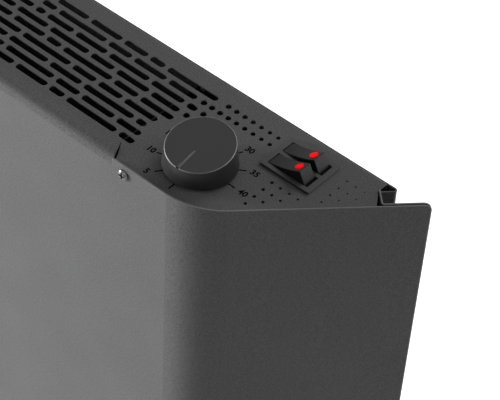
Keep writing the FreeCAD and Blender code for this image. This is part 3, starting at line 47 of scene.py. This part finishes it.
# %% Camera
turn, tip, roll = math.radians(38.637), math.radians(45.469), math.radians(3.676)
ahead = Vector((-math.sin(turn) * math.cos(tip), math.cos(turn) * math.cos(tip), -math.sin(tip)))
level = Vector((math.cos(turn), math.sin(turn), 0))
above = level.cross(ahead)
right = level * math.cos(roll) + above * math.sin(roll)
above = right.cross(ahead)
focal_mm, sensor_mm = 129.36, 36
camera_place = Vector((0.66767, -0.50605, 0.76767))
lens = bpy.data.cameras.new("photo_lens")
lens.lens = focal_mm
lens.sensor_width = sensor_mm
camera = bpy.data.objects.new("photo_camera", lens)
bpy.context.scene.collection.objects.link(camera)
camera_axes = Matrix((right, above, -ahead)).transposed().to_4x4()
camera.matrix_world = Matrix.Translation(camera_place) @ camera_axes
bpy.context.scene.camera = camera
print("camera looks", [round(value, 3) for value in ahead])

# %% [markdown]
# ## Floor and background
# The heater hangs, so the floor lies well below it. The background is white: where the camera or
# a reflection looks at the floor it adds some white, which keeps the shadow on it, and the world
# is white there too. As a light the world is only a soft grey, so that the lamps shape the object.

# %% Floor and world
def deselect():
    bpy.ops.object.select_all(action="DESELECT")


def looked_at(tree):
    """1 where the camera, a reflection or a clear piece looks at a surface, 0 for its light."""
    rays = tree.nodes.new("ShaderNodeLightPath")
    reflected = tree.nodes.new("ShaderNodeMath")
    reflected.operation = "MAXIMUM"
    tree.links.new(rays.outputs["Is Glossy Ray"], reflected.inputs[0])
    tree.links.new(rays.outputs["Is Transmission Ray"], reflected.inputs[1])
    seen = tree.nodes.new("ShaderNodeMath")
    seen.operation = "MAXIMUM"
    tree.links.new(rays.outputs["Is Camera Ray"], seen.inputs[0])
    tree.links.new(reflected.outputs[0], seen.inputs[1])
    return seen.outputs[0]


floor_size, floor_z = 30, -0.9
deselect()
bpy.ops.mesh.primitive_plane_add(size=floor_size, location=(0, 0, floor_z))
floor = bpy.context.object
floor.name = "studio_floor"
paper = bpy.data.materials.new("white_floor")
paper.use_nodes = True
tree = paper.node_tree
paper_shader = tree.nodes["Principled BSDF"]
paper_shader.inputs["Base Color"].default_value = (0.9, 0.9, 0.9, 1)
paper_shader.inputs["Roughness"].default_value = 0.9
paper_shader.inputs["Specular IOR Level"].default_value = 0.1
paper_shader.inputs["Emission Color"].default_value = (0.55, 0.55, 0.55, 1)
tree.links.new(looked_at(tree), paper_shader.inputs["Emission Strength"])
floor.data.materials.append(paper)

soft_strength, white_strength = 0.07, 1
world = bpy.data.worlds.new("white_room")
bpy.context.scene.world = world
world.use_nodes = True
tree = world.node_tree
tree.nodes.clear()
soft = tree.nodes.new("ShaderNodeBackground")
soft.inputs["Color"].default_value = (1, 1, 1, 1)
soft.inputs["Strength"].default_value = soft_strength
white = tree.nodes.new("ShaderNodeBackground")
white.inputs["Color"].default_value = (1, 1, 1, 1)
white.inputs["Strength"].default_value = white_strength
both = tree.nodes.new("ShaderNodeMixShader")
tree.links.new(looked_at(tree), both.inputs[0])
tree.links.new(soft.outputs[0], both.inputs[1])
tree.links.new(white.outputs[0], both.inputs[2])
tree.links.new(both.outputs[0], tree.nodes.new("ShaderNodeOutputWorld").inputs[0])
bpy.context.scene.view_settings.view_transform = "Standard"
print("floor at", floor_z)

# %% [markdown]
# ## Lamps
# A strong lamp far to the left, almost level with the deck, brightens the front panel and leaves
# the flared end in shade, which shows the bend between them. Weak lamps above, at the right and at
# the near corner fill the deck and the end. Two stand behind, for the back and for the right-hand
# faces of the rockers. All are discs, because a broad source gives soft edges to a shadow.

# %% Lamps
def lamp(name, place, target, size, watts):
    light = bpy.data.lights.new(name, "AREA")
    light.shape = "DISK"
    light.size = size
    light.energy = watts
    holder = bpy.data.objects.new(name, light)
    bpy.context.scene.collection.objects.link(holder)
    holder.location = place
    holder.rotation_euler = (Vector(target) - Vector(place)).to_track_quat("-Z", "Y").to_euler()
    print(name, watts, "W")


aim = (0.2, -0.08, 0.1)
lamp("key_lamp", (-2.67, -1.57, 0.36), aim, 1.0, 186)
lamp("upper_lamp", (1.3, 0.6, 2.0), aim, 1.5, 6.5)
lamp("rear_lamp", (0.3, 2.2, 2.0), aim, 1.5, 18)
lamp("side_lamp", (2.5, -0.3, 0.4), aim, 1.5, 0.4)
lamp("corner_lamp", (2.0, 1.4, 0.8), aim, 1.2, 7)
lamp("edge_lamp", (1.0, -0.85, 0.9), aim, 0.15, 0.15)
lamp("wall_lamp", (2.2, 2.2, 0.15), aim, 1.2, 38)

# %% [markdown]
# ## Ways to build a finish
# Each finish is a node material on the Principled shader. The helpers below add one node at a
# time: `finish` starts a material, `node` adds a node with its settings, and `join` wires it up.
# `tint` turns a pattern into a colour, `relief` into bumps, and `dress` puts it on the CAD pieces.
# Patterns read Object coordinates, which are metres on this part, so a noise of scale 1000 has
# grains of about a millimetre.

# %% Finish helpers
def finish(name, colour, roughness, metallic=0.0, specular=0.5):
    material = bpy.data.materials.new(name)
    material.use_nodes = True
    shader = material.node_tree.nodes["Principled BSDF"]
    shader.inputs["Base Color"].default_value = (*colour, 1)
    shader.inputs["Roughness"].default_value = roughness
    shader.inputs["Metallic"].default_value = metallic
    shader.inputs["Specular IOR Level"].default_value = specular
    return material, shader


def node(material, kind, **settings):
    made = material.node_tree.nodes.new(kind)
    for key, value in settings.items():
        if key in made.inputs:
            made.inputs[key].default_value = value
        else:
            setattr(made, key, value)
    return made


def join(material, start, end):
    material.node_tree.links.new(start, end)


def places(material):
    return node(material, "ShaderNodeTexCoord").outputs["Object"]


def grain(material, scale, detail=2.0, roughness=0.5):
    noise = node(material, "ShaderNodeTexNoise", Scale=scale, Detail=detail, Roughness=roughness)
    join(material, places(material), noise.inputs["Vector"])
    return noise.outputs["Fac"]


def shades(material, source, low, high, start, end):
    ramp = node(material, "ShaderNodeValToRGB")
    ramp.color_ramp.elements[0].position = start
    ramp.color_ramp.elements[0].color = (*low, 1)
    ramp.color_ramp.elements[1].position = end
    ramp.color_ramp.elements[1].color = (*high, 1)
    join(material, source, ramp.inputs["Fac"])
    return ramp.outputs["Color"]


def tint(material, shader, source, low, high, start=0.35, end=0.65):
    colour = shades(material, source, low, high, start, end)
    join(material, colour, shader.inputs["Base Color"])
    return colour


def relief(material, shader, source, strength, depth, edge=0.0):
    bump = node(material, "ShaderNodeBump", Strength=strength, Distance=depth)
    join(material, source, bump.inputs["Height"])
    if edge:
        rounding = node(material, "ShaderNodeBevel", samples=8, Radius=edge)
        join(material, rounding.outputs["Normal"], bump.inputs["Normal"])
    join(material, bump.outputs["Normal"], shader.inputs["Normal"])


def spread(material, source, low, high, start=0.3, end=0.7):
    span = node(material, "ShaderNodeMapRange")
    span.inputs["From Min"].default_value = start
    span.inputs["From Max"].default_value = end
    span.inputs["To Min"].default_value = low
    span.inputs["To Max"].default_value = high
    join(material, source, span.inputs["Value"])
    return span.outputs["Result"]


def dress(material, *names):
    for name in names:
        nodes[name].data.materials.clear()
        nodes[name].data.materials.append(material)
    print(material.name, "on", ", ".join(names))


# %% [markdown]
# ## Masks
# Some finishes get a painted highlight along an edge. A mask is a number that is 1 there and 0
# elsewhere, made from where a point lies: its height, how far from the middle, or how far over a
# plane. The last helper mixes that light colour in where the mask is 1, as a painted highlight.

# %% Mask helpers
def axis_value(material, axis):
    parts = node(material, "ShaderNodeSeparateXYZ")
    join(material, places(material), parts.inputs[0])
    return parts.outputs[axis]


def height(material):
    return axis_value(material, "Z")


def beside(material):
    """How far a point lies to the left or the right of the middle."""
    size = node(material, "ShaderNodeMath", operation="ABSOLUTE")
    join(material, axis_value(material, "X"), size.inputs[0])
    return size.outputs[0]


def over_plane(material, point, normal):
    """How far a point of the piece lies over a plane."""
    along = node(material, "ShaderNodeVectorMath", operation="SUBTRACT")
    join(material, places(material), along.inputs[0])
    along.inputs[1].default_value = point
    dot = node(material, "ShaderNodeVectorMath", operation="DOT_PRODUCT")
    join(material, along.outputs[0], dot.inputs[0])
    dot.inputs[1].default_value = normal
    return dot.outputs["Value"]


def both_over(material, first, first_limit, second, second_limit):
    """1 where both measures are over their limits, 0 elsewhere."""
    product = node(material, "ShaderNodeMath", operation="MULTIPLY")
    for place, (measure, limit) in enumerate([(first, first_limit), (second, second_limit)]):
        over = node(material, "ShaderNodeMath", operation="GREATER_THAN")
        join(material, measure, over.inputs[0])
        over.inputs[1].default_value = limit
        join(material, over.outputs[0], product.inputs[place])
    return product.outputs[0]


MIX_FIRST, MIX_SECOND, MIX_RESULT = 6, 7, 2  # the colour sockets of a Mix node


# Mixes a painted highlight into a colour: a light colour where the mask is 1.
def paint_highlight(material, shader, mask, colour, light):
    blend = node(material, "ShaderNodeMix", data_type="RGBA")
    join(material, mask, blend.inputs["Factor"])
    join(material, colour, blend.inputs[MIX_FIRST])
    blend.inputs[MIX_SECOND].default_value = (*light, 1)
    join(material, blend.outputs[MIX_RESULT], shader.inputs["Base Color"])


# %% [markdown]
# ## Powder coat
# The casing is sheet steel with a dark grey powder coat: a baked paint whose surface is a very
# fine orange peel, so it glitters slightly in grains of under a millimetre. One noise gives both
# the grain's relief and its lighter and darker specks; a much broader one keeps large panels
# from looking dead flat. On the cut top edges beside the notches, over the deck, a light line is
# painted into the colour: a painted highlight where those edges catch the light.

# %% Powder coat
coat, coat_shader = finish("powder_coat", (0.113, 0.113, 0.114), 0.5, specular=0.15)
specks = grain(coat, 1300, detail=3, roughness=0.65)
coat_colour = tint(coat, coat_shader, specks, (0.083, 0.083, 0.084), (0.143, 0.143, 0.144))
# The light line on the cut edges over the deck is a painted highlight.
edge_from_z, edge_from_x = 0.2008, 0.2572
edge_highlight_mask = both_over(coat, height(coat), edge_from_z, beside(coat), edge_from_x)
paint_highlight(coat, coat_shader, edge_highlight_mask, coat_colour, (0.23, 0.23, 0.23))
join(coat, spread(coat, grain(coat, 35), 0.47, 0.55), coat_shader.inputs["Roughness"])
relief(coat, coat_shader, specks, 0.35, 0.0002, edge=0.0005)
dress(coat, "casing", "back_panel", "bottom_grille")

# %% [markdown]
# ## Moulded plastics
# The knob and the switch are mouldings. Their tools are spark-eroded, which leaves a matte, even
# texture that is finer than the paint's. The knob's top slopes down to its pointer, and a painted
# highlight lightens its edge: the mask for it is a narrow band of heights just under the sloping
# top.

# %% Knob and switch plastic
def moulded(name, dark, light, roughness, specular, edge):
    material, shader = finish(name, light, roughness, specular=specular)
    pits = grain(material, 2400, detail=2)
    colour = tint(material, shader, pits, dark, light)
    relief(material, shader, pits, 0.15, 0.0001, edge=edge)
    return material, shader, colour


dial = Vector((0.288, -0.0685, 0.2))
knob_top_z, knob_slope, pointer_lean = 0.2128, math.radians(8.3), math.radians(3.1)
upward = Vector((0, 0, 1))
uphill = Vector((-math.sin(pointer_lean), math.cos(pointer_lean), 0))
knob_normal = (upward * math.cos(knob_slope) - uphill * math.sin(knob_slope)).normalized()
knob_plastic, knob_shader, knob_colour = moulded(
    "knob_plastic", (0.009, 0.009, 0.0093), (0.013, 0.013, 0.0134),
    roughness=0.42, specular=0.36, edge=0.0002)
top_middle = Vector((dial.x, dial.y, knob_top_z))
over_top = over_plane(knob_plastic, top_middle, knob_normal)
under_top = over_plane(knob_plastic, top_middle, -knob_normal)
# A painted highlight on the knob's rim: a light colour in a thin band just under the top.
rim_from, rim_to = 0.00003, 0.00045
rim_highlight_mask = both_over(knob_plastic, over_top, -rim_to, under_top, rim_from)
paint_highlight(knob_plastic, knob_shader, rim_highlight_mask, knob_colour, (0.2, 0.2, 0.2))
dress(knob_plastic, "knob")

bezel_plastic, _, _ = moulded(
    "bezel_plastic", (0.07, 0.07, 0.071), (0.086, 0.086, 0.087),
    roughness=0.45, specular=0.2, edge=0.0003)
dress(bezel_plastic, "switch_housing")
rocker_plastic, _, _ = moulded(
    "rocker_plastic", (0.005, 0.005, 0.0052), (0.008, 0.008, 0.0083),
    roughness=0.5, specular=0.17, edge=0.0003)
dress(rocker_plastic, "rocker_front", "rocker_rear")

# %% [markdown]
# ## Inner mouldings, rubber and ceramic
# Inside are a phenolic thermostat body and cut-out, nylon terminals and clips, rubber spacers and
# glands, and unglazed ceramic bushes. Each gets one noise, which is both its mottle and its relief:
# broad for what flowed in a mould, fine for dust on rubber and for clay.

# %% Inner mouldings, rubber and ceramic
phenolic, phenolic_shader = finish("phenolic", (0.03, 0.027, 0.025), 0.5)
flow = grain(phenolic, 300, detail=4)
tint(phenolic, phenolic_shader, flow, (0.022, 0.02, 0.018), (0.042, 0.038, 0.035))
relief(phenolic, phenolic_shader, flow, 0.1, 0.0002)
dress(phenolic, "thermostat_body", "thermal_cutout")

nylon, nylon_shader = finish("nylon", (0.8, 0.79, 0.74), 0.45)
flow = grain(nylon, 220, detail=3)
tint(nylon, nylon_shader, flow, (0.72, 0.71, 0.66), (0.84, 0.83, 0.78))
relief(nylon, nylon_shader, flow, 0.08, 0.0002)
dress(nylon, "terminal_block", "gland_nut", "wire_clips")

rubber, rubber_shader = finish("black_rubber", (0.02, 0.02, 0.021), 0.7, specular=0.3)
dust = grain(rubber, 900, detail=4)
tint(rubber, rubber_shader, dust, (0.014, 0.014, 0.015), (0.032, 0.032, 0.033))
relief(rubber, rubber_shader, dust, 0.2, 0.0002)
dress(rubber, "wall_spacers", "cable_gland", "shield_grommet")

ceramic, ceramic_shader = finish("ceramic", (0.84, 0.81, 0.74), 0.75, specular=0.3)
clay = grain(ceramic, 700, detail=5)
tint(ceramic, ceramic_shader, clay, (0.74, 0.71, 0.64), (0.87, 0.85, 0.79))
relief(ceramic, ceramic_shader, clay, 0.3, 0.0003)
dress(ceramic, "ceramic_bushes")

# %% [markdown]
# ## Red lenses and their lamps
# Each rocker has a small clear red lens over a neon lamp. The lens is a saturated red that is
# lit from inside, so it gets some light of its own.

# %% Lenses and lamps
lens_red, lens_shader = finish("lens_red", (0.8, 0.003, 0.003), 0.35, specular=0.02)
clouds = grain(lens_red, 500, detail=2)
tint(lens_red, lens_shader, clouds, (0.7, 0.002, 0.002), (0.9, 0.005, 0.005))
lens_shader.inputs["Emission Color"].default_value = (1.0, 0.0, 0.0, 1)
lens_shader.inputs["Emission Strength"].default_value = 0.65
dress(lens_red, "lens_front", "lens_rear")

lamp_glass, lamp_shader = finish("lamp_glass", (0.95, 0.75, 0.62), 0.08)
streaks = grain(lamp_glass, 400, detail=2)
tint(lamp_glass, lamp_shader, streaks, (0.9, 0.66, 0.5), (0.98, 0.82, 0.7))
lamp_shader.inputs["Transmission Weight"].default_value = 0.7
dress(lamp_glass, "lamp_front", "lamp_rear")

# %% [markdown]
# ## Metals
# Plated screws are bright, and the two front ones are dark. The inner brackets are
# zinc-plated sheet with a faint spangle. The reflector, the heat shield and the element bracket
# are coloured near black as painted shade inside the casing, and so are the elements, which are
# extruded: their fine lines run along X, so that noise is stretched by a mapping.

# %% Metals
def metal(name, dark, light, roughness, scale, stretch=(1, 1, 1), bumps=0.08):
    material, shader = finish(name, light, roughness, metallic=1.0)
    noise = node(material, "ShaderNodeTexNoise", Scale=scale, Detail=4.0)
    mapping = node(material, "ShaderNodeMapping")
    mapping.inputs["Scale"].default_value = stretch
    join(material, places(material), mapping.inputs["Vector"])
    join(material, mapping.outputs["Vector"], noise.inputs["Vector"])
    streaks = noise.outputs["Fac"]
    tint(material, shader, streaks, dark, light)
    smoother, rougher = roughness * 0.8, roughness * 1.25
    join(material, spread(material, streaks, smoother, rougher), shader.inputs["Roughness"])
    relief(material, shader, streaks, bumps, 0.0001)
    return material


ALONG_X = (0.02, 1, 1)
plated = metal("plated_steel", (0.62, 0.62, 0.63), (0.78, 0.78, 0.79), 0.2, 600)
dress(plated, "back_screws", "grille_screws", "frame_screws", "rod_nuts", "thermostat_nut")
# The two front screws are coloured dark.
dark_steel = metal("dark_front_steel", (0.08, 0.08, 0.082), (0.16, 0.16, 0.163), 0.25, 600)
dress(dark_steel, "front_screws")
zinc = metal("zinc_sheet", (0.27, 0.275, 0.28), (0.38, 0.385, 0.39), 0.5, 90)
dress(zinc, "wall_bracket", "corner_brackets", "cutout_bracket", "bulb_clips", "knob_clip")
# Painted shade: the inner sheet is coloured near black for the shade inside the casing.
shaded_sheet = metal("painted_shade_sheet", (0.012, 0.012, 0.012), (0.03, 0.03, 0.03), 0.6, 400)
dress(shaded_sheet, "reflector", "heat_shield", "element_bracket")
# The elements too are coloured dark, as painted shade inside the casing.
drawn = metal("extruded_aluminium", (0.05, 0.05, 0.05), (0.09, 0.09, 0.09), 0.5, 700,
              stretch=ALONG_X, bumps=0.15)
dress(drawn, "lower_element", "upper_element")
sheath = metal("drawn_sheath", (0.34, 0.34, 0.35), (0.48, 0.48, 0.49), 0.32, 700,
               stretch=ALONG_X)
dress(sheath, "heater_rods")
brass = metal("brass", (0.58, 0.42, 0.17), (0.76, 0.58, 0.28), 0.26, 500)
dress(brass, "thermostat_terminals", "switch_terminals", "contact_lever_front",
      "contact_lever_rear", "terminal_screws", "earth_stud", "earth_nut", "neutral_strap",
      "thermostat_shaft")
copper = metal("copper", (0.5, 0.24, 0.13), (0.7, 0.38, 0.23), 0.28, 500)
dress(copper, "capillary_tube", "sensor_bulb")

# %% [markdown]
# ## Wire sleeves
# The inner wires have silicone sleeves in the usual colours. The earth wire is green with a
# yellow stripe: a wave along its length gives the bands.

# %% Wire sleeves
def sleeve(name, dark, light):
    material, shader = finish(name, light, 0.55, specular=0.3)
    dust = grain(material, 800, detail=3)
    tint(material, shader, dust, dark, light)
    relief(material, shader, dust, 0.15, 0.0001)
    return material


dress(sleeve("brown_sleeve", (0.11, 0.05, 0.02), (0.18, 0.08, 0.035)), "live_wires")
dress(sleeve("blue_sleeve", (0.03, 0.1, 0.36), (0.05, 0.15, 0.48)), "neutral_wires")
earth, earth_shader = finish("green_yellow_sleeve", (0.2, 0.4, 0.05), 0.55, specular=0.3)
bands = node(earth, "ShaderNodeTexWave", Scale=120.0, Distortion=0.5,
             wave_type="BANDS", bands_direction="DIAGONAL")
join(earth, places(earth), bands.inputs["Vector"])
tint(earth, earth_shader, bands.outputs["Fac"], (0.05, 0.27, 0.05), (0.72, 0.6, 0.04),
     start=0.48, end=0.52)
dress(earth, "earth_wire")

# %% [markdown]
# ## The printed dial
# Round the knob a plain black scale is printed on the deck: nine strokes over three quarters of
# a turn, and a number at each. A print has next to no thickness, so each stroke is a flat plate
# of a few hundredths of a millimetre that lies on the paint. The strokes start as a thin cube
# each, whose ends are bevelled round; the numbers are text that is turned into a mesh.

# %% Dial ink
ink, ink_shader = finish("dial_ink", (0.004, 0.004, 0.004), 0.8, specular=0.0)
flecks = grain(ink, 1800, detail=3)
tint(ink, ink_shader, flecks, (0.003, 0.003, 0.003), (0.007, 0.007, 0.007))
relief(ink, ink_shader, flecks, 0.1, 0.00005)
MM = 0.001
deck_z = 200 * MM
print_thick = 0.04 * MM
stroke_inner, stroke_outer, stroke_wide = 17.3 * MM, 21.2 * MM, 0.7 * MM
stroke_round = 0.1 * MM


def settle(piece, paint, body):
    """Put the object's place into its mesh, give it its paint and let it ride on its body."""
    deselect()
    piece.select_set(True)
    bpy.context.view_layer.objects.active = piece
    bpy.ops.object.transform_apply(location=True, rotation=True, scale=True)
    piece.data.materials.clear()
    piece.data.materials.append(paint)
    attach(piece, body)


# %% Strokes
marks = ["min", "5", "10", "15", "20", "25", "30", "35", "40"]
first, step = math.radians(-90), math.radians(33.9)
middle = (stroke_inner + stroke_outer) / 2
for index, mark in enumerate(marks):
    angle = first - index * step
    deselect()
    bpy.ops.mesh.primitive_cube_add(size=1)
    stroke = bpy.context.object
    stroke.name = "dial_stroke_" + mark
    stroke.scale = (stroke_outer - stroke_inner, stroke_wide, print_thick)
    stroke.rotation_euler = (0, 0, angle)
    stroke.location = (dial.x + middle * math.cos(angle), dial.y + middle * math.sin(angle),
                       deck_z + print_thick / 2)
    settle(stroke, ink, "heater")
    bpy.ops.object.mode_set(mode="EDIT")
    bpy.ops.mesh.select_all(action="SELECT")
    bpy.ops.mesh.bevel(offset=stroke_round, segments=2, affect="VERTICES")
    bpy.ops.object.mode_set(mode="OBJECT")
print("strokes", len(marks))

# %% Numbers
number_high, number_bolder = 3.2 * MM, 0.13 * MM
letter_share = 0.7  # a digit's height as a share of the text's size
number_places = {
    "5": (-14.7, -19.8), "10": (-22.8, -8.2), "15": (-23.9, 5.2), "20": (-17.1, 17.7),
    "25": (-4.4, 24.2), "30": (10.0, 22.5), "35": (21.6, 12.6), "40": (25.9, -0.4),
}
for mark, (along, back) in number_places.items():
    deselect()
    bpy.ops.object.text_add()
    number = bpy.context.object
    number.name = "dial_number_" + mark
    number.data.body = mark
    number.data.align_x = "CENTER"
    number.data.align_y = "CENTER"
    number.data.size = number_high / letter_share
    number.data.extrude = print_thick / 2
    number.data.resolution_u = 4
    number.data.offset = number_bolder
    number.location = (dial.x + along * MM, dial.y + back * MM, deck_z + print_thick / 2)
    bpy.ops.object.convert(target="MESH")
    settle(bpy.context.object, ink, "heater")
print("numbers", len(number_places))

# %% [markdown]
# ## The knob's pointer
# The knob's groove is filled with light grey as a painted highlight for its lit edges. The fill is
# a cube stretched along the groove, sunk below the sloping top, whose edges are bevelled.

# %% Pointer
# Painted highlight: the light grey fill stands for the light that the groove's edges catch.
pointer_highlight_paint, pointer_shader = finish("pointer_highlight_paint", (0.22, 0.22, 0.223), 0.6, specular=0.1)
smears = grain(pointer_highlight_paint, 900, detail=3)
tint(pointer_highlight_paint, pointer_shader, smears, (0.2, 0.2, 0.203), (0.24, 0.24, 0.243))
relief(pointer_highlight_paint, pointer_shader, smears, 0.1, 0.00005)
pointer_inner, pointer_outer = 4.5 * MM, 16.2 * MM
pointer_wide, pointer_thick, pointer_sunk, pointer_round = 1.3 * MM, 0.4 * MM, 0.35 * MM, 0.08 * MM
pointer_middle = (pointer_inner + pointer_outer) / 2
downhill = (-uphill * math.cos(knob_slope) - upward * math.sin(knob_slope)).normalized()
across = knob_normal.cross(downhill)
deselect()
bpy.ops.mesh.primitive_cube_add(size=1)
pointer = bpy.context.object
pointer.name = "pointer_fill"
pointer.scale = (pointer_outer - pointer_inner, pointer_wide, pointer_thick)
pointer.rotation_euler = Matrix((downhill, across, knob_normal)).transposed().to_euler()
pointer.location = top_middle + downhill * pointer_middle - knob_normal * pointer_sunk
settle(pointer, pointer_highlight_paint, "knob")
bpy.ops.object.mode_set(mode="EDIT")
bpy.ops.mesh.select_all(action="SELECT")
bpy.ops.mesh.bevel(offset=pointer_round, segments=2)
bpy.ops.object.mode_set(mode="OBJECT")
print("pointer", round((pointer_outer - pointer_inner) / MM, 1), "mm long")
